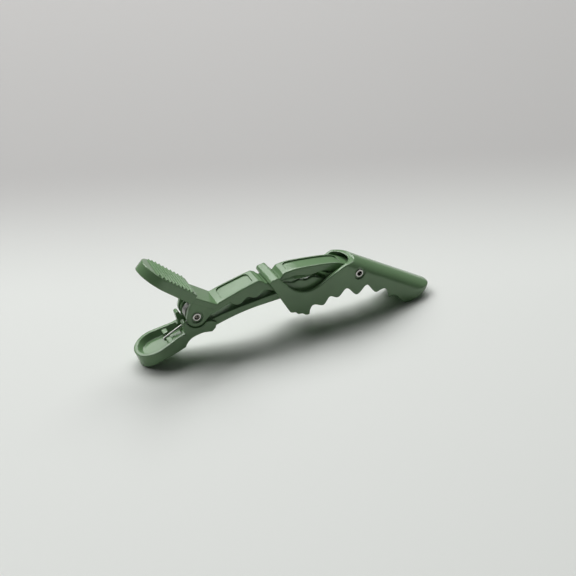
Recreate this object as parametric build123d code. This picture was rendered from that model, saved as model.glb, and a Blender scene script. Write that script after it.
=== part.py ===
from build123d import *
import os
from copy import copy
from math import acos, atan2, cos, hypot, pi, radians, sin, tan

# Double-hinged sectioning clip. X runs from the finger pads to the nose, Y across, Z up.
# The clip lies closed, on the back of its lower pad and the front of its nose.
# All sizes are in millimetres.

# ---- layout of the two rivets, seen from the side
main_x, main_z = -34.8, 15.6          # main rivet, where the two levers meet
pivot_span, pivot_rise = 61.1, 1.6    # from the main rivet to the front rivet
front_x, front_z = main_x + pivot_span, main_z + pivot_rise

# ---- stack across the main rivet
coil_bay = 5.2                        # room for the spring between the lower lever's lugs
lug_thickness = 1.15
cheek_thickness = 1.6                 # outer cheeks of both levers
side_play = 0.15                      # gap between neighbouring cheeks
lug_outer = coil_bay / 2 + lug_thickness
cheek_inner = lug_outer + side_play
hub_half = cheek_inner + cheek_thickness
cheek_radius = 3.6                    # round foot of the upper lever's cheeks
cradle_gap = 0.45                     # round gap under those feet
lug_radius = 3.1

# ---- rivets: tubes with a flared head at each end
rivet_shank = 2.4
rivet_bore = 1.9
rivet_head = 3.1
rivet_head_height, rivet_head_round = 0.45, 0.3
rivet_fit = 0.05                      # radial running clearance
sink_radius = 2.2                     # round seat cut for each head
sink_depth = 0.6

# ---- torsion spring
wire = 0.8
coil_turns = 3
coil_pitch = 0.88
coil_radius = 3.0                     # to the middle of the wire
coil_offset = -0.5                    # the coil sits a little to the -Y side of its bay
lower_leg_slope, lower_leg_length = radians(28.3), 13.9
upper_leg_slope, upper_leg_length = radians(52.5), 12.8

# ---- finger pads (spoon shapes)
upper_pad_radius = 7.75
upper_pad_tilt = 40.8
upper_pad_reach, upper_pad_rise = 8.97, 17.36   # main rivet to the middle of the round end
upper_pad_neck, upper_pad_length = 6.8, 12.5    # half width where the pad ends, and how far on
upper_pad_depth, upper_pad_flare = 3.6, 2.5     # its sides lean out by this many degrees
lower_pad_radius = 7.2
lower_pad_tilt = 16.6
lower_pad_reach = 14.8
lower_pad_neck, lower_pad_length = 5.43, 9.0
lower_pad_depth = 5.4
lower_pad_keel = 1.8                  # how far its underside rises towards the sides
pad_wall = 1.5
pad_skin = 1.25
lower_rim = 2.4                       # rim round the recess at the pad's round end
recess_neck, recess_length = 3.8, 10.0          # the recess runs on to the hub's posts
lower_recess = 2.8
rib_count, rib_pitch, rib_height = 10, 1.55, 0.5
rib_margin, last_rib = 0.7, 1.6       # plain rim round the ribs, and the last rib from the pad's end
saddle_place, saddle_width, saddle_dip = 4.3, 1.8, 2.32
edge_round, arm_round = 0.35, 0.5     # rounding of moulded edges

# ---- upper lever's arm
deck_half = hub_half + 0.9            # smooth deck at the foot of the pad; it narrows to the hub's width
arm_rear_half, arm_front_half = 5.0, 3.75
arm_wall = 1.3
arm_web = 2.0
panel_depth, panel_rim, panel_corner = 0.9, 0.95, 1.6
waist_rise = 4.0                                # seat for the band, above the front rivet
barrel_radius, boss_radius = 2.15, 2.1          # arm's barrel and the jaw's bosses on the front rivet
arm_rear_waves, wave_depth = 2, 1.5

# ---- front jaw
jaw_half = 6.75
jaw_wall = 1.35
jaw_inner = jaw_half - jaw_wall
hood_slope = 30.7
hood_sagitta = 3.6                    # height of the hood's arch above its side walls
hood_skin = 1.3
hood_rise = 4.97                      # hood's ridge above the front rivet
lip_low = (-5.0, 4.65)                # hood's rear lip on its shoulders, from the front rivet
lip_high = (-0.1, 4.9)                # and at its ridge
band_thickness = 1.7
band_gap = 0.3
nose_reach = 31.3                     # front rivet to the tip of the nose
nose_solid, nose_oval = 7.5, 8.4
jaw_teeth = ((-20.2, -0.2), (-17.4, 1.65), (-14.5, -0.35), (-11.85, 1.6), (-8.9, 0.0), (-5.4, 2.5),
             (-1.1, -0.65), (2.8, 3.15), (6.7, 0.7), (8.35, 1.92), (12.0, 0.0))
# reach from the front rivet and height over the teeth's arch, for tips and notches in turn
tooth_arch_radius, tooth_arch_reach, tooth_arch_drop = 26.9, -5.8, 7.1
nose_lift, nose_under = 3.8, 10.2     # rise of the nose's underside, and how far it runs

# ---- lower lever's jaw
jaw_clearance = 0.75                  # between this jaw and the front jaw's walls
lower_half = jaw_inner - jaw_clearance
trough_depth = 2.3                    # shallow trough between the teeth
lower_wall = 1.15
lower_floor = 1.1
lower_reach, lower_tip_half = 17.6, 3.4         # front rivet to the jaw's tip, and its half width there
tooth_height = 0.6


def side_plane(y):
    """Drawing plane for outlines in X and Z, facing -Y, at the given Y."""
    return Plane(origin=(0, y, 0), x_dir=(1, 0, 0), z_dir=(0, -1, 0))


def plate(edges, y_low, y_high):
    """Flat plate of a closed X-Z outline between two Y values."""
    return extrude(side_plane(y_high) * make_face(edges), amount=y_high - y_low)


def both_sides(solid):
    return solid + mirror(solid, about=Plane.XZ)


def soften(solid, radius, wanted):
    """Rounds the edges whose middle point passes the test."""
    return fillet([edge for edge in solid.edges() if wanted(edge @ 0.5)], radius)


def soften_top_sides(solid, radius, wanted):
    """Rounds the lengthwise edges of the upward faces, where the middle point passes the test."""
    tops = [face for face in solid.faces() if face.normal_at().Z > 0.4]
    edges = [edge for face in tops for edge in face.edges() if abs((edge % 0.5).Y) < 0.5]
    return fillet([edge for edge in edges if wanted(edge @ 0.5)], radius)


def disc(x, z, radius, y_low, y_high):
    """Round bar along Y."""
    return extrude(side_plane(y_high) * Pos(x, z) * Circle(radius), amount=y_high - y_low)


def front(x, z):
    """A point given from the front rivet."""
    return (front_x + x, front_z + z)


def main(x, z):
    """A point given from the main rivet."""
    return (main_x + x, main_z + z)


def plan_block(points, z_low=-5, z_high=60):
    """Upright block over a plan outline given for the +Y side, mirrored to the other."""
    outline = points + [(x, -y) for x, y in reversed(points)]
    return extrude(Pos(0, 0, z_low) * make_face(Polyline(*outline, close=True)), amount=z_high - z_low)


# ------------------------------------------------------------------ spoon-shaped pads

def spoon(radius, neck_half, length):
    """Round end about the origin with two straight sides that meet the neck at x = length."""
    turn = atan2(neck_half, length) + acos(radius / hypot(neck_half, length))
    touch = (radius * cos(turn), radius * sin(turn))
    under = (touch[0], -touch[1])
    round_end = ThreePointArc(under, (-radius, 0), touch)
    sides = Polyline(touch, (length, neck_half), (length, -neck_half), under)
    return make_face(round_end.edges() + sides.edges())


def upper_pad_plane():
    tilt = radians(upper_pad_tilt)
    return Plane(origin=(main_x - upper_pad_reach, 0, main_z + upper_pad_rise),
                 x_dir=(cos(tilt), 0, -sin(tilt)), z_dir=(sin(tilt), 0, cos(tilt)))


def lower_pad_plane():
    """Plane of the lower pad's rim; the back edge of its underside touches the ground."""
    tilt = radians(lower_pad_tilt)
    height = lower_pad_radius * sin(tilt) + lower_pad_depth * cos(tilt)
    return Plane(origin=(main_x - lower_pad_reach, 0, height),
                 x_dir=(cos(tilt), 0, sin(tilt)), z_dir=(-sin(tilt), 0, cos(tilt)))


def grip_rib(place):
    """One sharp-crested rib across the upper pad, in the pad's own plane."""
    width = 0.8 * rib_pitch
    profile = Polyline((-width / 2, -0.1), (-width / 4, rib_height), (width / 2, -0.1), close=True)
    half = 2 * upper_pad_radius
    bar = extrude(Plane(origin=(0, half, 0), x_dir=(1, 0, 0), z_dir=(0, -1, 0)) * make_face(profile),
                  amount=2 * half)
    return Pos(place, 0, 0) * bar


def upper_pad():
    outline = spoon(upper_pad_radius, upper_pad_neck, upper_pad_length)
    body = extrude(outline, amount=-upper_pad_depth, taper=-upper_pad_flare)
    body = soften(body, edge_round, lambda p: p.Z > -0.1 and p.X < upper_pad_length - 0.1)
    hollow = spoon(upper_pad_radius - pad_wall, upper_pad_neck - pad_wall, upper_pad_length + 1)
    body -= Pos(0, 0, -pad_skin) * extrude(hollow, amount=-upper_pad_depth)
    grip = extrude(spoon(upper_pad_radius - rib_margin, upper_pad_neck - rib_margin,
                         upper_pad_length - rib_margin), amount=2 * rib_height)
    grip += mirror(grip, about=Plane.XY)
    ribs = [grip_rib(upper_pad_length - last_rib - i * rib_pitch) for i in range(rib_count)]
    for rib in ribs:
        body += rib & grip
    return upper_pad_plane() * body


# ------------------------------------------------------------------ upper lever

def arm_top():
    """Top line of the arm, rear to front: rear panel, waist, front panel, down to the barrel."""
    rise = Spline(main(7.9, 3.0), main(16.5, 5.7), main(23.4, 7.5))
    waist = Polyline(main(23.4, 7.5), front(-36.2, 5.3), front(-34.9, waist_rise), front(-30.0, waist_rise),
                     front(-28.4, 5.7))
    fall = Spline(front(-28.4, 5.7), front(-26.6, 6.3), front(-18.4, 6.3), front(-6.7, 4.7),
                  front(0, barrel_radius), tangents=((1.0, 0.9), (1.0, -0.3)))
    return rise.edges() + waist.edges() + fall.edges()


def wave(start, end, count, depth):
    """Points of a wavy edge that hangs between two low points, with `count` hollows in it."""
    steps = 2 * count
    return [(start[0] + (end[0] - start[0]) * i / steps,
             start[1] + (end[1] - start[1]) * i / steps + depth * (i % 2)) for i in range(steps + 1)]


def arm_underside():
    """Lower line of the arm's side walls, front to rear, with its waves."""
    front_part = Spline(front(0, -barrel_radius), front(-4.5, -0.6), front(-10.0, 2.2), front(-13.8, 3.3),
                        front(-17.3, 2.8), front(-22.5, 3.8), front(-27.2, 3.8), front(-30.0, 3.1),
                        tangents=((-1.0, 0.0), (-0.9, -0.4)))
    rear = wave(front(-32.6, 0.6), main(15.8, 0.5), arm_rear_waves, wave_depth)
    rear_part = Spline(*rear, main(12.7, 1.9), main(9.2, 0.95), tangents=((-1.0, 0.4), (-1.0, -0.35)))
    link = Polyline(front(-30.0, 3.1), front(-31.4, 2.6), front(-32.6, 0.6))
    return front_part.edges() + link.edges() + rear_part.edges()


def arm_plan(inset=0.0):
    """Plan of the arm, wide at the hub and narrower towards the barrel."""
    return plan_block([(main_x + 2, arm_rear_half - inset), (main_x + 7, arm_rear_half - inset),
                       (front_x - 20, arm_front_half - inset), (front_x + 6, arm_front_half - inset)])


def under_line(drop, low):
    """Everything below the arm's top line, lowered by drop, down to a level."""
    top = arm_top()
    sides = Polyline(front(0, barrel_radius), front(0, low), main(7.9, low), main(7.9, 3.0))
    return Pos(0, 0, -drop) * plate(top + sides.edges(), -2 * jaw_half, 2 * jaw_half)


def panel(x_low, x_high):
    """Shallow long recess in the arm's top, with an even rim and rounded corners."""
    block = Pos((x_low + x_high) / 2, 0, 30) * Box(x_high - x_low, 4 * arm_rear_half, 80)
    inner = arm_plan(panel_rim) & block
    inner = fillet(inner.edges().filter_by(Axis.Z), panel_corner)
    return inner - under_line(panel_depth, -40)


def arm():
    rear_edge = Polyline(main(9.2, 0.95), main(6.9, 0.2), main(4.0, -0.6), main(4.0, 4.0), main(7.9, 3.0))
    front_edge = Line(front(0, barrel_radius), front(0, -barrel_radius))
    bar = plate(arm_top() + arm_underside() + front_edge.edges() + rear_edge.edges(),
                -2 * arm_rear_half, 2 * arm_rear_half)
    bar &= arm_plan()
    bar = soften_top_sides(bar, arm_round, lambda p: p.X > main_x + 8)
    channel = under_line(arm_web, -40) & arm_plan(arm_wall)
    channel -= disc(front_x, front_z, barrel_radius + 1.5, -jaw_half, jaw_half)
    bar -= channel
    bar -= panel(main_x + 10.0, main_x + 21.8)
    bar -= panel(front_x - 26.2, front_x - 5.2)
    return bar + disc(front_x, front_z, barrel_radius, -arm_front_half, arm_front_half)


def cheek_outline():
    """Outer cheek that carries the main rivet, from the pad's underside down to its round foot."""
    r = cheek_radius
    rear_touch, front_touch = main(-r * cos(0.3), r * sin(0.3)), main(r * sin(0.8), -r * cos(0.8))
    foot = ThreePointArc(rear_touch, main(-r * sin(0.75), -r * cos(0.75)), front_touch)
    rear = Spline(rear_touch, main(-2.5, 3.8), main(-1.8, 5.6), main(-2.9, 8.0),
                  tangents=((0.3, 1.0), (-0.8, 1.0)))
    top = Polyline(main(-2.9, 8.0), main(-4.0, 10.5), main(0.2, 7.0), main(7.0, 2.7), main(6.1, 1.3),
                   main(4.1, -1.2), front_touch)
    return foot.edges() + rear.edges() + top.edges()


def deck():
    """Smooth sloping plate between the pad and the arm, over the hub."""
    outline = Polyline(main(-3.0, 10.3), main(0.2, 7.9), main(7.7, 3.0), main(7.9, 2.3), main(6.2, 1.5),
                       main(-0.8, 6.0), main(-4.2, 9.0), close=True)
    plan = plan_block([(main_x - 6, deck_half), (main_x + 0.2, deck_half), (main_x + 9, hub_half)])
    body = plate(outline.edges(), -2 * hub_half, 2 * hub_half) & plan
    return soften_top_sides(body, edge_round, lambda p: p.Z > main_z + 2.6 and p.X > main_x - 2)


def rivet_holes(x, z, outer):
    """Clear hole and round seats for a rivet between two outer faces."""
    cut = disc(x, z, rivet_shank / 2 + rivet_fit, -outer - 1, outer + 1)
    return cut + both_sides(disc(x, z, sink_radius, outer - sink_depth, outer + 1))


def leg_room():
    """Way for the spring's upper leg, under the pad and the deck."""
    outline = Polyline(main(4.2, -1.0), main(3.3, 1.9), main(-0.3, 6.2), main(-4.0, 11.5), main(-9.0, 14.0),
                       main(-9.0, -1.0), close=True)
    return plate(outline.edges(), -cheek_inner, cheek_inner)


def build_upper_lever():
    cheek = soften(plate(cheek_outline(), cheek_inner, hub_half), edge_round,
                   lambda p: p.Y > hub_half - 0.1 and p.Z < main_z + 6)
    body = upper_pad() + (deck() - leg_room()) + both_sides(cheek) + arm()
    body -= rivet_holes(main_x, main_z, hub_half)
    return body - disc(front_x, front_z, rivet_shank / 2 + rivet_fit, -jaw_half, jaw_half)


# ------------------------------------------------------------------ lower lever

def saddle():
    """Cross rib in the lower pad's recess, dished in the middle for the spring's leg."""
    half, low = lower_pad_radius - 1.5, -lower_recess - 0.5
    top, dish = half - 1.0, half - 3.2
    profile = Polyline((-half, low), (-half, 0), (-top, 0), (-dish, -saddle_dip), (dish, -saddle_dip),
                       (top, 0), (half, 0), (half, low), close=True)
    face = Plane(origin=(saddle_place, 0, 0), x_dir=(0, 1, 0), z_dir=(1, 0, 0)) * make_face(profile)
    return extrude(face, amount=saddle_width)


def lower_pad():
    outer = spoon(lower_pad_radius, lower_pad_neck, lower_pad_length)
    body = extrude(outer, amount=-lower_pad_depth)
    body = soften(body, edge_round, lambda p: p.Z > -0.1 and p.X < lower_pad_length - 0.1)
    side = 2 * lower_pad_radius
    keel = Ellipse(side / 2 + 0.01, lower_pad_keel) + Pos(0, 10) * Rectangle(side + 0.02, 20)
    across = Plane(origin=(-side, 0, lower_pad_keel - lower_pad_depth), x_dir=(0, 1, 0), z_dir=(1, 0, 0))
    body &= extrude(across * keel, amount=3 * side)
    return lower_pad_plane() * body


def pad_recess():
    """Deep recess of the lower pad, up to the hub's posts, with the saddle left standing in it."""
    outline = spoon(lower_pad_radius - lower_rim, recess_neck, recess_length)
    cut = Pos(0, 0, -lower_recess) * extrude(outline, amount=2 * lower_recess)
    return lower_pad_plane() * (cut - saddle())


def cradle_outline():
    """Outer cheek of the lower lever: floor line, front horn, round hollow, rear post."""
    r = cheek_radius + cradle_gap
    front_touch = main(r * cos(0.7), -r * sin(0.7))
    rear_touch = main(-r * cos(0.35), -r * sin(0.35))
    hollow = ThreePointArc(front_touch, main(0, -r), rear_touch)
    post = ThreePointArc(rear_touch, main(-4.5, -0.9), main(-5.2, -1.9))
    rear = Polyline(main(-5.2, -1.9), main(-4.6, -5.3), main(-8.6, -6.6), main(-8.6, -11.2),
                    main(-4.9, -10.1))
    floor = Spline(main(-4.9, -10.1), main(-3.5, -8.2), main(-1.8, -7.2), main(0.8, -6.6),
                   main(4.9, -6.9), tangents=((0.5, 1.0), (1.0, -0.15)))
    horn = Polyline(main(4.9, -6.9), main(6.4, -5.6), main(6.9, -3.9), main(5.0, -2.6), front_touch)
    return hollow.edges() + post.edges() + rear.edges() + floor.edges() + horn.edges()


def lug_outline():
    """Inner lug with a round head about the main rivet."""
    round_head = ThreePointArc(main(lug_radius, 0), main(0, lug_radius), main(-lug_radius, 0))
    stem = Polyline(main(-lug_radius, 0), main(-lug_radius, -6.0), main(lug_radius, -6.0),
                    main(lug_radius, 0))
    return round_head.edges() + stem.edges()


def jaw_floor():
    """Lower line of the lower jaw, rear to tip."""
    return Spline(main(3.0, -6.5), main(9.1, -4.7), main(16.5, -2.95), front(-30.3, -3.1),
                  front(-20.6, -2.7), front(-6.0, -4.4), front(3.7, -6.2), front(12.5, -10.4),
                  front(lower_reach, -13.1))


def jaw_trough(half):
    """Rounded trough along the lower jaw, between its toothed edges."""
    start, end = Vector(front_x - 31.6, 0, front_z + 2.1), Vector(front_x - 15.0, 0, front_z + 1.35)
    section = Ellipse(half, trough_depth) + Pos(0, 3) * Rectangle(2 * half, 6)
    across = Plane(origin=start, x_dir=(0, 1, 0), z_dir=end - start)
    return extrude(across * section, amount=(end - start).length)


def build_lower_jaw():
    """Channel-shaped jaw: low plain walls behind the waist, toothed walls in front of it."""
    teeth = wave(front(-29.6, 2.1), front(-15.6, 1.35), 3, tooth_height)
    top = Spline(*teeth)
    rear = Polyline(main(3.0, -6.5), main(3.0, -3.2), main(10.5, -1.5), main(17.9, -0.4),
                    front(-31.2, -0.5), front(-29.6, 2.1))
    nose = Spline(front(-15.6, 1.35), front(-13.1, 0.4), front(-4.5, -3.3), front(0.0, -3.6),
                  front(4.0, -4.2), front(12.0, -8.8), front(lower_reach, -11.9),
                  tangents=((1.0, 0.0), (1.0, -0.7)))
    tip = Line(front(lower_reach, -11.9), front(lower_reach, -13.1))
    bar = plate(top.edges() + rear.edges() + nose.edges() + tip.edges() + jaw_floor().edges(),
                -lower_half, lower_half)
    inner = lower_half - lower_wall
    bed = Polyline(front(lower_reach, -13.1), front(lower_reach, 20), main(3.0, 20), main(3.0, -6.5))
    channel = Pos(0, 0, lower_floor) * plate(jaw_floor().edges() + bed.edges(), -inner, inner)
    channel &= plan_block([(main_x, inner), (front_x - 31.5, inner)])
    channel += jaw_trough(inner)
    plan = [(main_x + 3, lower_half), (front_x + 9, lower_half), (front_x + lower_reach, lower_tip_half)]
    return (bar & plan_block(plan)) - channel


def build_lower_lever():
    hub = plate(cradle_outline(), -hub_half, hub_half)
    bay_line = Polyline(main(-9, 6), main(-9, -8.8), main(-5.0, -7.0), main(-1.5, -4.9), main(4.0, -4.6),
                        main(8.0, -3.5), main(8.0, 6), close=True)
    bay = plate(bay_line.edges(), -coil_bay / 2, coil_bay / 2)
    hub = soften(hub, edge_round, lambda p: abs(p.Y) > hub_half - 0.1 and p.Z > main_z - 6)
    body = lower_pad() + hub - pad_recess() + build_lower_jaw() - bay
    body += both_sides(plate(lug_outline(), coil_bay / 2, lug_outer))
    return body - disc(main_x, main_z, rivet_shank / 2 + rivet_fit, -hub_half, hub_half)


# ------------------------------------------------------------------ front jaw

def tooth_edge():
    """Wavy lower edge of the front jaw: tips and notches laid out along one arch."""
    def arch(x):
        return -tooth_arch_drop - (x - tooth_arch_reach) ** 2 / (2 * tooth_arch_radius)

    return [front(x, arch(x) + height) for x, height in jaw_teeth]


def jaw_outline():
    """Side outline of the front jaw: band, window's lower edge, hood, nose and teeth."""
    floor = -front_z
    tip = nose_reach
    band_top = waist_rise + band_gap + band_thickness
    band = Spline(front(-34.3, 4.4), front(-33.6, band_top - 0.2), front(-32.3, band_top),
                  front(-30.6, 5.5), tangents=((-0.2, 1.0), (0.65, -1.0)))
    window = Spline(front(-30.6, 5.5), front(-27.9, 2.3), front(-25.0, -0.4), front(-20.8, -1.95),
                    front(-16.5, -1.2), front(-11.8, 1.5), front(-7.9, 3.35), front(*lip_low),
                    tangents=((0.65, -1.0), (1.0, 0.3)))
    over = hood_rise - tip * tan(radians(hood_slope)) + 1.0
    hood = Polyline(front(*lip_low), front(lip_high[0] - 0.5, lip_low[1]), front(*lip_high),
                    front(lip_high[0], 12), front(tip, over),
                    front(tip, floor + nose_lift), front(tip - nose_under, floor), front(19.1, floor))
    teeth = Spline(*reversed(tooth_edge()))
    last = Spline(front(19.1, floor), front(16.4, floor + 2.4), front(14.2, floor + 4.5), tooth_edge()[-1])
    ripple = Spline(tooth_edge()[0], front(-21.6, -11.0), front(-22.9, -10.1), front(-24.4, -9.9),
                    front(-25.4, -9.0), front(-27.4, -8.4), tangents=((-1.0, 0.0), (-1.0, 0.5)))
    rear = Polyline(front(-27.4, -8.4), front(-31.1, -1.5), front(-34.3, 4.4))
    upper = band.edges() + window.edges() + hood.edges()
    return upper + last.edges() + teeth.edges() + ripple.edges() + rear.edges()


def arch_block(half, height, drop):
    """Long block along the hood's slope with an arched top of the given half width."""
    slope = radians(hood_slope)
    section = Ellipse(half, height) + Pos(0, -20) * Rectangle(2 * half, 40)
    plane = Plane(origin=(front_x, 0, front_z + hood_rise), x_dir=(0, 1, 0),
                  z_dir=(cos(slope), 0, -sin(slope)))
    return extrude(plane * Pos(0, -drop) * section, amount=60, both=True)


def round_nose(half, tip_x, length):
    """Plan block with straight sides and an elliptical front end of the given length."""
    centre = tip_x - length
    oval = Pos(centre, 0) * Ellipse(length, half)
    body = Pos((centre + main_x) / 2, 0) * Rectangle(centre - main_x, 2 * half)
    return extrude(Pos(0, 0, -5) * (oval + body), amount=60)


def build_front_jaw():
    outer = plate(jaw_outline(), -jaw_half, jaw_half)
    outer = soften(outer, edge_round, lambda p: abs(p.Y) > jaw_half - 0.1 and p.X < front_x - 8
                   and p.Z > front_z - 8)
    outer &= arch_block(jaw_half, hood_sagitta, hood_sagitta)
    outer &= round_nose(jaw_half, front_x + nose_reach, nose_oval)
    band_front, ceiling = front_x - 30.1, 60
    room = Polyline((main_x, -5), (main_x, front_z + waist_rise + band_gap),
                    (band_front, front_z + waist_rise + band_gap), (band_front, ceiling),
                    (front_x + nose_reach, ceiling), (front_x + nose_reach, -5), close=True)
    inner = plate(room.edges(), -jaw_inner, jaw_inner)
    inner &= arch_block(jaw_inner, hood_sagitta - hood_skin, hood_sagitta)
    inner &= round_nose(jaw_inner, front_x + nose_reach - nose_solid, jaw_inner)
    inner -= both_sides(disc(front_x, front_z, boss_radius, arm_front_half + side_play, jaw_inner))
    return outer - inner - rivet_holes(front_x, front_z, jaw_half)


# ------------------------------------------------------------------ metal parts

def rivet(x, z, outer):
    """Tubular rivet along Y, with a rounded flare in the seat at each end."""
    seat = outer - sink_depth
    tube = disc(x, z, rivet_shank / 2, -seat, seat)
    flare = disc(x, z, rivet_head / 2, seat, seat + rivet_head_height)
    flare = fillet(flare.edges().sort_by(Axis.Y)[-1], rivet_head_round)
    tube += both_sides(flare)
    bore = disc(x, z, rivet_bore / 2, -outer - 1, outer + 1)
    return tube - bore


def spring_leg(touch_angle, y, length):
    """Straight leg that leaves the coil along its tangent, towards the pads."""
    start = (main_x + coil_radius * cos(touch_angle), y, main_z + coil_radius * sin(touch_angle))
    side = 1 if sin(touch_angle) > 0 else -1
    along = (-side * sin(touch_angle), 0, side * cos(touch_angle))
    return extrude(Plane(origin=start, z_dir=along) * Circle(wire / 2), amount=length)


def build_spring():
    lower_touch, upper_touch = -pi / 2 + lower_leg_slope, pi / 2 - upper_leg_slope
    turns = coil_turns + (upper_touch - lower_touch) / (2 * pi)
    height = turns * coil_pitch
    helix = Helix(coil_pitch, height, coil_radius)
    coil = sweep(Plane(origin=helix @ 0, z_dir=helix % 0) * Circle(wire / 2), path=helix)
    lay = Plane(origin=(main_x, coil_offset + height / 2, main_z),
                x_dir=(cos(lower_touch), 0, sin(lower_touch)), z_dir=(0, -1, 0))
    coil = lay * coil
    return (coil + spring_leg(lower_touch, coil_offset + height / 2, lower_leg_length)
            + spring_leg(upper_touch, coil_offset - height / 2, upper_leg_length))


def build_all():
    """Every node in its closed place, the whole clip centred on X = 0 and standing on Z = 0."""
    nodes = {
        "upper_lever": build_upper_lever(),
        "lower_lever": build_lower_lever(),
        "front_jaw": build_front_jaw(),
        "main_rivet": rivet(main_x, main_z, hub_half),
        "front_rivet": rivet(front_x, front_z, jaw_half),
        "torsion_spring": build_spring(),
    }
    box = Compound(children=[copy(solid) for solid in nodes.values()]).bounding_box()
    shift = Pos(-box.center().X, 0, -box.min.Z)
    print("main rivet", round(main_x - box.center().X, 4), round(main_z - box.min.Z, 4))
    print("front rivet", round(front_x - box.center().X, 4), round(front_z - box.min.Z, 4))
    print("size", [round(v, 4) for v in box.size])
    return {name: shift * solid for name, solid in nodes.items()}


if __name__ == "__main__":
    os.makedirs("parts", exist_ok=True)
    for name, solid in build_all().items():
        export_step(solid, f"parts/{name}.step")
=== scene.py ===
import bmesh
import bpy
import math
from mathutils import Matrix, Vector


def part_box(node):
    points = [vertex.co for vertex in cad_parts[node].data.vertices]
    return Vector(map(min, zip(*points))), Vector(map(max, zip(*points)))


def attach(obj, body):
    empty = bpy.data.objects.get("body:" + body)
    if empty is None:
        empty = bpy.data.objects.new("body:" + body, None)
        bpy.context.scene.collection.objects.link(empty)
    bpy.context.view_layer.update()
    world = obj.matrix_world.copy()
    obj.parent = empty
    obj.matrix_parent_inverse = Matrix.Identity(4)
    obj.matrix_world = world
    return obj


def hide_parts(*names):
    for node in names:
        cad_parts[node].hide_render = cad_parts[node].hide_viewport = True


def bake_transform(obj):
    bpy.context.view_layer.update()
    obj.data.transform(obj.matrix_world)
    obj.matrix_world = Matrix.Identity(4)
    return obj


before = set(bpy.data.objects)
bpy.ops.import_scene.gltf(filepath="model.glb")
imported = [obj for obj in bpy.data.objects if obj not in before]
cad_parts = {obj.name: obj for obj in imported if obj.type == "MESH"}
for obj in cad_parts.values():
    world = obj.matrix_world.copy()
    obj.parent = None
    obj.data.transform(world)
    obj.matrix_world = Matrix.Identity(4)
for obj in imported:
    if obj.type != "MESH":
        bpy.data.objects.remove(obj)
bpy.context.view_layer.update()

# Lengths are in metres, unless the line says otherwise.

# ---- moulded plastic
sage = (0.165, 0.290, 0.140)
cloud_light, cloud_dark = 1.06, 0.93                    # the flow clouding's two shares of the colour
cloud_cells, polish_cells, ripple_cells = 90.0, 260.0, 120.0    # per metre
glossiest, dullest = 0.10, 0.20                         # range of the plastic's roughness
ripple_height = 0.00006
plastic_ior = 1.53
soft_edge, ribbed_edge = 0.0006, 0.0003                 # shaded rounding, smaller for the fine ribs
channel_reach, channel_half = (-0.030, 0.004), 0.0034   # lower lever's channel along X, half of it along Y
channel_roughness = 0.6

# ---- metal
metal_light, metal_dark = 1.05, 0.85                    # the plating's two shares of its grey
nickel_grey, nickel_polish, nickel_grain = (0.62, 0.61, 0.58), (0.14, 0.32), 900.0
steel_grey, steel_polish, steel_grain = (0.50, 0.50, 0.48), (0.22, 0.42), 1500.0
scratch_depth = 0.00002

# ---- lower lever's finger pad, in a frame of its own: X towards the hinge, rim at Z = 0
pad_reach, pad_tilt = 0.0148, math.radians(16.6)        # main rivet to the pad's middle, and its slope
pad_radius, pad_depth = 0.0072, 0.0054
outline_sides = 64
dish_rim, dish_depth, dish_slope = 0.0014, 0.0021, 0.0013
dish_length, dish_neck = 0.0100, 0.0040                 # the dish runs on to the hub's posts
dish_over = 0.001                                       # how far the cutter stands above the rim
filling_rim, filling_depth = 0.0022, 0.0032             # takes in the whole of the CAD's recess
filling_drop = 0.00002                                  # the filling stops just under the rim
rib_place, rib_width = 0.0043, 0.0018
rib_inset, rib_root = 0.0012, 0.0002                    # from the pad's outline, and into the dish's floor
far_drop, near_drop = 0.0005, 0.0014                    # how far the rib's two blocks stay under the rim
wire_side, wire_room = 0.0010, 0.0008                   # where the spring's leg crosses the rib

# ---- upper lever's arm
rear_panel_reach, front_panel_reach = 0.0159, -0.0157   # from the main rivet, and from the front rivet
panel_lift = 0.00045
least_upward = 0.6                                      # smallest Z of a normal that counts as upward

# ---- torsion spring
spring_wire = 0.0008
leg_lift = 0.0003                                       # the lower leg's end lies on the dish's floor

# ---- copies of CAD meshes
merge_distance = 1e-6
sharp_corner = math.radians(30.0)

# ---- table, window light and room
table_size, table_roughness = 6.0, 0.6
# The table's colour turns from white to grey towards the back: painted shade for the dimmer back of the
# room.
table_white, table_painted_shade = (0.74, 0.76, 0.73), (0.435, 0.43, 0.42)
table_near, table_far = 0.02, 0.16                      # where the painted shade towards the back starts and ends
lamp_distance = 2.0
pane_azimuths, pane_elevation = (-38.0, 2.0, 42.0), 49.0        # degrees; azimuth from +Y towards +X
pane_width, pane_height = 40.0, 32.0                    # degrees, as seen from the clip
pane_radiance = 3.4
room_tint, room_strength = (0.97, 0.98, 1.0), 0.04
backdrop_grey = 0.50
gloss_share = 0.2                                       # how much of the pale backdrop shows in the gloss

# ---- camera
view_azimuth, view_elevation, view_roll = math.radians(22.2), math.radians(29.7), math.radians(-2.9)
view_right, view_up, view_distance = 0.0004, 0.0130, 0.362
view_centre = Vector((-0.00048, 0.0, 0.0))
lens_length, sensor_width = 62.5, 36.0                  # millimetres
nearest_seen = 0.01


# ---------------------------------------------------------------- materials

def new_material(name):
    """An empty node material with a Principled shader wired to its output."""
    material = bpy.data.materials.new(name)
    material.use_nodes = True
    nodes = material.node_tree.nodes
    nodes.clear()
    output = nodes.new("ShaderNodeOutputMaterial")
    shader = nodes.new("ShaderNodeBsdfPrincipled")
    material.node_tree.links.new(shader.outputs["BSDF"], output.inputs["Surface"])
    return material, shader


def object_coordinates(material):
    return material.node_tree.nodes.new("ShaderNodeTexCoord").outputs["Object"]


def noise(material, scale, detail=3.0):
    """Noise on the piece's own coordinates; scale is in cells per metre."""
    node = material.node_tree.nodes.new("ShaderNodeTexNoise")
    node.inputs["Scale"].default_value = scale
    node.inputs["Detail"].default_value = detail
    material.node_tree.links.new(object_coordinates(material), node.inputs["Vector"])
    return node.outputs["Fac"]


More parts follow.
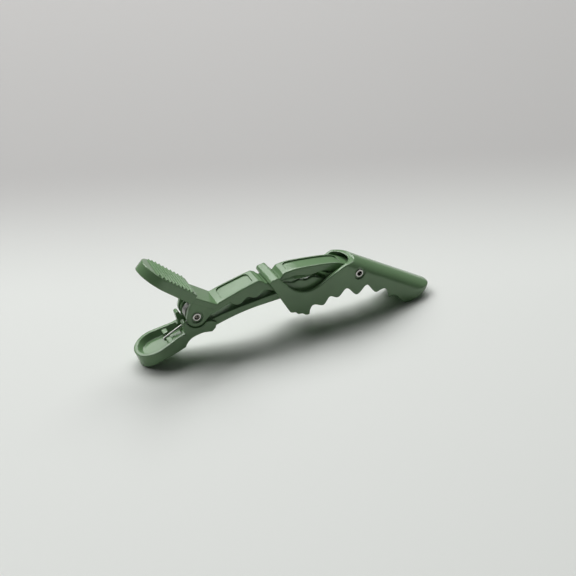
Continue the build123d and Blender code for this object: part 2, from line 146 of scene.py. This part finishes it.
def ramp(material, value, stops):
    """Colour ramp between two (place, colour) stops."""
    node = material.node_tree.nodes.new("ShaderNodeValToRGB")
    for element, (place, colour) in zip(node.color_ramp.elements, stops):
        element.position = place
        element.color = (*colour, 1.0)
    material.node_tree.links.new(value, node.inputs["Fac"])
    return node.outputs["Color"]


def spread(material, value, low, high):
    """Maps a 0 to 1 value to low to high."""
    node = material.node_tree.nodes.new("ShaderNodeMapRange")
    node.inputs["To Min"].default_value = low
    node.inputs["To Max"].default_value = high
    material.node_tree.links.new(value, node.inputs["Value"])
    return node.outputs["Result"]


def multiply(material, first, second):
    node = material.node_tree.nodes.new("ShaderNodeMath")
    node.operation = "MULTIPLY"
    material.node_tree.links.new(first, node.inputs[0])
    material.node_tree.links.new(second, node.inputs[1])
    return node.outputs["Value"]


def within(material, axis, low, high):
    """1 where the piece's own coordinate on that axis lies between low and high, else 0."""
    apart = material.node_tree.nodes.new("ShaderNodeSeparateXYZ")
    material.node_tree.links.new(object_coordinates(material), apart.inputs["Vector"])
    node = material.node_tree.nodes.new("ShaderNodeMath")
    node.operation = "COMPARE"
    node.inputs[1].default_value = (low + high) / 2.0
    node.inputs[2].default_value = (high - low) / 2.0
    material.node_tree.links.new(apart.outputs[axis], node.inputs[0])
    return node.outputs["Value"]


def soft_edges(material, shader, radius):
    """Shades sharp edges as if they were rounded by the radius."""
    node = material.node_tree.nodes.new("ShaderNodeBevel")
    node.samples = 6
    node.inputs["Radius"].default_value = radius
    material.node_tree.links.new(node.outputs["Normal"], shader.inputs["Normal"])


def bump(material, shader, height, distance):
    """Adds relief on top of the normal that the shader already reads, if it reads one."""
    node = material.node_tree.nodes.new("ShaderNodeBump")
    if shader.inputs["Normal"].is_linked:
        before = shader.inputs["Normal"].links[0].from_socket
        material.node_tree.links.new(before, node.inputs["Normal"])
    node.inputs["Distance"].default_value = distance
    node.inputs["Strength"].default_value = 1.0
    material.node_tree.links.new(height, node.inputs["Height"])
    material.node_tree.links.new(node.outputs["Normal"], shader.inputs["Normal"])


def matt_channel(material, polish):
    """The given roughness, but matt inside the lower lever's channel, which is left as moulded."""
    lengthwise = within(material, "X", *channel_reach)
    across = within(material, "Y", -channel_half, channel_half)
    mix = material.node_tree.nodes.new("ShaderNodeMix")
    mix.data_type = "FLOAT"
    material.node_tree.links.new(multiply(material, lengthwise, across), mix.inputs[0])
    material.node_tree.links.new(polish, mix.inputs[2])
    mix.inputs[3].default_value = channel_roughness
    return mix.outputs[0]


def moulded_plastic(name, edge_radius, has_channel=False):
    """Glossy sage-green moulding: faint flow clouding, uneven polish and a slight skin ripple."""
    material, shader = new_material(name)
    light = tuple(c * cloud_light for c in sage)
    dark = tuple(c * cloud_dark for c in sage)
    tint = ramp(material, noise(material, cloud_cells), [(0.3, dark), (0.7, light)])
    material.node_tree.links.new(tint, shader.inputs["Base Color"])
    polish = spread(material, noise(material, polish_cells, 4.0), glossiest, dullest)
    if has_channel:
        polish = matt_channel(material, polish)
    material.node_tree.links.new(polish, shader.inputs["Roughness"])
    soft_edges(material, shader, edge_radius)
    bump(material, shader, noise(material, ripple_cells, 1.0), ripple_height)
    shader.inputs["IOR"].default_value = plastic_ior
    return material


def bright_metal(name, grey, polish_range, grain):
    """Metal with a fine uneven polish; grain is in cells per metre."""
    material, shader = new_material(name)
    light = tuple(min(1.0, c * metal_light) for c in grey)
    dark = tuple(c * metal_dark for c in grey)
    tint = ramp(material, noise(material, grain), [(0.3, dark), (0.75, light)])
    material.node_tree.links.new(tint, shader.inputs["Base Color"])
    polish = spread(material, noise(material, 2.0 * grain), *polish_range)
    material.node_tree.links.new(polish, shader.inputs["Roughness"])
    bump(material, shader, noise(material, 3.0 * grain), scratch_depth)
    shader.inputs["Metallic"].default_value = 1.0
    return material


def set_finish(piece, material):
    piece.data.materials.clear()
    piece.data.materials.append(material)


rivet_nickel = bright_metal("rivet_nickel", nickel_grey, nickel_polish, nickel_grain)
finishes = {
    "upper_lever": moulded_plastic("upper_plastic", ribbed_edge),
    "lower_lever": moulded_plastic("lower_plastic", soft_edge, has_channel=True),
    "front_jaw": moulded_plastic("jaw_plastic", soft_edge),
    "main_rivet": rivet_nickel,
    "front_rivet": rivet_nickel,
    "torsion_spring": bright_metal("spring_steel", steel_grey, steel_polish, steel_grain),
}
for name, material in finishes.items():
    set_finish(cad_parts[name], material)


# ---------------------------------------------------------------- copies that stand in for CAD nodes

def merge_doubles(data):
    mesh = bmesh.new()
    mesh.from_mesh(data)
    bmesh.ops.remove_doubles(mesh, verts=mesh.verts, dist=merge_distance)
    mesh.to_mesh(data)
    mesh.free()


def merged_copy(node, name):
    """Merged copy of a CAD piece's mesh, free of the CAD's own shading."""
    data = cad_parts[node].data.copy()
    data.name = name
    if "custom_normal" in data.attributes:
        data.attributes.remove(data.attributes["custom_normal"])
    merge_doubles(data)
    piece = bpy.data.objects.new(name, data)
    bpy.context.scene.collection.objects.link(piece)
    return piece


def shade_with_corners(piece):
    piece.data.shade_smooth()
    piece.data.set_sharp_from_angle(angle=sharp_corner)


def finish_moulding(piece, body, node):
    """Even shading with crisp corners; the piece then stands in for its CAD node."""
    shade_with_corners(piece)
    even = piece.modifiers.new("even_shading", "WEIGHTED_NORMAL")
    even.keep_sharp = True
    even.weight = 100
    set_finish(piece, finishes[node])
    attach(piece, body)
    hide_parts(node)


def rivet_x(node):
    low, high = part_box(node)
    return (low[0] + high[0]) / 2.0


# ---------------------------------------------------------------- upper lever with its shallow panels

def smooth_patch(mesh, x):
    """Faces that run on without a corner from the upward face nearest to the middle line at x."""
    aim = Vector((x, 0.0))
    upward = [face for face in mesh.faces if face.normal.z > least_upward]
    start = min(upward, key=lambda face: (face.calc_center_median().xy - aim).length)
    found, border = {start}, [start]
    while border:
        face = border.pop()
        beside = {other for edge in face.edges for other in edge.link_faces} - found
        beside = {other for other in beside if face.normal.angle(other.normal) < sharp_corner}
        found |= beside
        border += beside
    return found


def make_upper_lever():
    """The arm's two long panels are shallower than the CAD's, so their floors are lifted."""
    piece = merged_copy("upper_lever", "upper_lever_moulding")
    mesh = bmesh.new()
    mesh.from_mesh(piece.data)
    mesh.normal_update()
    floors = smooth_patch(mesh, rivet_x("main_rivet") + rear_panel_reach)
    floors |= smooth_patch(mesh, rivet_x("front_rivet") + front_panel_reach)
    places = {vertex for face in floors for vertex in face.verts}
    bmesh.ops.translate(mesh, verts=list(places), vec=(0.0, 0.0, panel_lift))
    mesh.to_mesh(piece.data)
    mesh.free()
    finish_moulding(piece, "upper", "upper_lever")


# ---------------------------------------------------------------- spring

def make_spring():
    """Copy of the spring with the lower leg's end lifted a little; it takes the place of the hidden CAD
    spring.
    """
    piece = merged_copy("torsion_spring", "torsion_spring_wire")
    low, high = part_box("torsion_spring")
    mesh = bmesh.new()
    mesh.from_mesh(piece.data)
    leg_end = [vertex for vertex in mesh.verts if vertex.co.x < low[0] + spring_wire]
    bmesh.ops.translate(mesh, verts=leg_end, vec=(0.0, 0.0, leg_lift))
    mesh.to_mesh(piece.data)
    mesh.free()
    shade_with_corners(piece)
    set_finish(piece, finishes["torsion_spring"])
    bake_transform(piece)
    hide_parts("torsion_spring")


# ---------------------------------------------------------------- lower lever with its dished finger pad

def pad_matrix():
    """Places a shape drawn about the pad's middle, with its rim at Z = 0."""
    height = pad_radius * math.sin(pad_tilt) + pad_depth * math.cos(pad_tilt)
    middle = Vector((rivet_x("main_rivet") - pad_reach, 0.0, height))
    return Matrix.Translation(middle) @ Matrix.Rotation(-pad_tilt, 4, "Y")


def add_spoon_block(mesh, levels):
    """Block between spoon outlines; levels lists (height, end radius, half width of the neck)."""
    made = []
    for height, radius, neck in levels:
        place = Matrix.Translation((0.0, 0.0, height))
        made += bmesh.ops.create_circle(mesh, segments=outline_sides, radius=radius, matrix=place)["verts"]
        made += [mesh.verts.new((dish_length, side * neck, height)) for side in (-1.0, 1.0)]
    hull = bmesh.ops.convex_hull(mesh, input=made)
    inside = [vertex for vertex in hull["geom_interior"] if vertex.is_valid]
    bmesh.ops.delete(mesh, geom=inside, context="VERTS")


def add_box(mesh, low, high):
    size = Vector(high) - Vector(low)
    middle = (Vector(high) + Vector(low)) / 2.0
    place = Matrix.Translation(middle) @ Matrix.Diagonal((*size, 1.0))
    bmesh.ops.create_cube(mesh, size=1.0, matrix=place)


def filling(mesh):
    """Fills the CAD's recess up to just under the rim, so that the dish can be cut in one form."""
    radius = pad_radius - filling_rim
    add_spoon_block(mesh, ((-filling_drop, radius, dish_neck), (-filling_depth, radius, dish_neck)))


def dish(mesh):
    """Spoon-shaped dish with sloping walls."""
    radius = pad_radius - dish_rim
    widen = dish_slope * dish_over / dish_depth
    top = (dish_over, radius + widen, dish_neck + widen)
    floor = (-dish_depth, radius - dish_slope, dish_neck - dish_slope)
    add_spoon_block(mesh, (top, floor))


def rib(mesh):
    """Cross rib in two blocks, with a gap for the spring's leg; the -Y block is the lower one."""
    half = pad_radius - rib_inset
    foot = -dish_depth - rib_root
    blocks = ((wire_side + wire_room, half, far_drop), (-half, wire_side - wire_room, near_drop))
    for start, end, drop in blocks:
        add_box(mesh, (rib_place, start, foot), (rib_place + rib_width, end, -drop))


def pad_tool(name, fill):
    """Object for a boolean, drawn in the pad's own frame by the given function."""
    mesh = bmesh.new()
    fill(mesh)
    bmesh.ops.recalc_face_normals(mesh, faces=mesh.faces)
    mesh.transform(pad_matrix())
    data = bpy.data.meshes.new(name)
    mesh.to_mesh(data)
    mesh.free()
    tool = bpy.data.objects.new(name, data)
    bpy.context.scene.collection.objects.link(tool)
    return tool


def make_lower_lever():
    """The pad's recess is filled, the dish is cut and the cross rib is set in it."""
    piece = merged_copy("lower_lever", "lower_lever_moulding")
    steps = (("filling", filling, "UNION"), ("dish", dish, "DIFFERENCE"), ("rib", rib, "UNION"))
    tools = []
    for name, fill, operation in steps:
        tool = pad_tool(name, fill)
        cut = piece.modifiers.new(name, "BOOLEAN")
        cut.solver = "EXACT"
        cut.operation = operation
        cut.object = tool
        tools.append(tool)
    evaluated = piece.evaluated_get(bpy.context.evaluated_depsgraph_get())
    shape = bpy.data.meshes.new_from_object(evaluated)
    merge_doubles(shape)
    piece.modifiers.clear()
    piece.data = shape
    for tool in tools:
        bpy.data.objects.remove(tool)
    finish_moulding(piece, "lower", "lower_lever")


make_upper_lever()
make_spring()
make_lower_lever()


# ---------------------------------------------------------------- table, window light, room, camera

def plain_floor():
    """Pale table that keeps the clip's shadow; its colour is painted darker towards the back, as painted
    shade for the dimmer back of the room.
    """
    bpy.ops.mesh.primitive_plane_add(size=table_size, location=(0, 0, 0))
    floor = bpy.context.object
    floor.name = "table_top"
    material, shader = new_material("table_white")
    away = material.node_tree.nodes.new("ShaderNodeVectorMath")
    away.operation = "DOT_PRODUCT"
    away.inputs[1].default_value = (math.sin(view_azimuth), math.cos(view_azimuth), 0.0)
    material.node_tree.links.new(object_coordinates(material), away.inputs[0])
    depth = material.node_tree.nodes.new("ShaderNodeMapRange")
    depth.interpolation_type = "SMOOTHSTEP"
    depth.inputs["From Min"].default_value = table_near
    depth.inputs["From Max"].default_value = table_far
    material.node_tree.links.new(away.outputs["Value"], depth.inputs["Value"])
    # painted shade: the table's colour darkens from white to grey towards the back
    tone = ramp(material, depth.outputs["Result"], [(0.0, table_white), (1.0, table_painted_shade)])
    material.node_tree.links.new(tone, shader.inputs["Base Color"])
    shader.inputs["Roughness"].default_value = table_roughness
    floor.data.materials.append(material)


def lamp_side(degrees):
    """Side of a lamp that covers that many degrees, as seen from the clip."""
    return 2.0 * lamp_distance * math.tan(math.radians(degrees) / 2.0)


def window_pane(name, azimuth):
    """Soft lamp aimed at the clip."""
    turn, lift = math.radians(azimuth), math.radians(pane_elevation)
    towards = Vector((math.sin(turn) * math.cos(lift), math.cos(turn) * math.cos(lift), math.sin(lift)))
    lamp = bpy.data.lights.new(name, "AREA")
    lamp.shape = "RECTANGLE"
    lamp.size = lamp_side(pane_width)
    lamp.size_y = lamp_side(pane_height)
    lamp.energy = pane_radiance * math.pi * lamp.size * lamp.size_y
    holder = bpy.data.objects.new(name, lamp)
    bpy.context.scene.collection.objects.link(holder)
    holder.location = lamp_distance * towards
    holder.rotation_euler = (-towards).to_track_quat("-Z", "Y").to_euler()


def room_light():
    """Even grey room light; the backdrop that the camera and the gloss see is paler."""
    world = bpy.data.worlds.new("room")
    bpy.context.scene.world = world
    world.use_nodes = True
    nodes, links = world.node_tree.nodes, world.node_tree.links
    nodes.clear()
    output = nodes.new("ShaderNodeOutputWorld")
    lit = nodes.new("ShaderNodeBackground")
    lit.inputs["Color"].default_value = (*room_tint, 1.0)
    lit.inputs["Strength"].default_value = room_strength
    backdrop = nodes.new("ShaderNodeBackground")
    backdrop.inputs["Color"].default_value = (backdrop_grey, backdrop_grey, backdrop_grey, 1.0)
    path = nodes.new("ShaderNodeLightPath")
    mix = nodes.new("ShaderNodeMixShader")
    seen_by = nodes.new("ShaderNodeMath")
    seen_by.operation = "MULTIPLY_ADD"
    seen_by.inputs[1].default_value = gloss_share
    links.new(path.outputs["Is Glossy Ray"], seen_by.inputs[0])
    links.new(path.outputs["Is Camera Ray"], seen_by.inputs[2])
    links.new(seen_by.outputs["Value"], mix.inputs["Fac"])
    links.new(lit.outputs["Background"], mix.inputs[1])
    links.new(backdrop.outputs["Background"], mix.inputs[2])
    links.new(mix.outputs["Shader"], output.inputs["Surface"])


def place_camera():
    forward = Vector((math.sin(view_azimuth) * math.cos(view_elevation),
                      math.cos(view_azimuth) * math.cos(view_elevation), -math.sin(view_elevation)))
    level = Vector((math.cos(view_azimuth), -math.sin(view_azimuth), 0.0))
    upright = level.cross(forward)
    right = math.cos(view_roll) * level + math.sin(view_roll) * upright
    up = math.cos(view_roll) * upright - math.sin(view_roll) * level
    eye = view_right * right + view_up * up - view_distance * forward + view_centre
    camera = bpy.data.objects.new("camera", bpy.data.cameras.new("camera"))
    bpy.context.scene.collection.objects.link(camera)
    turn = Matrix((right, up, -forward)).transposed()
    camera.matrix_world = Matrix.Translation(eye) @ turn.to_4x4()
    camera.data.lens = lens_length
    camera.data.sensor_width = sensor_width
    camera.data.clip_start = nearest_seen
    bpy.context.scene.camera = camera


plain_floor()
for pane, azimuth in enumerate(pane_azimuths):
    window_pane(f"window_pane_{pane}", azimuth)
room_light()
place_camera()
bpy.context.scene.view_settings.view_transform = "Standard"
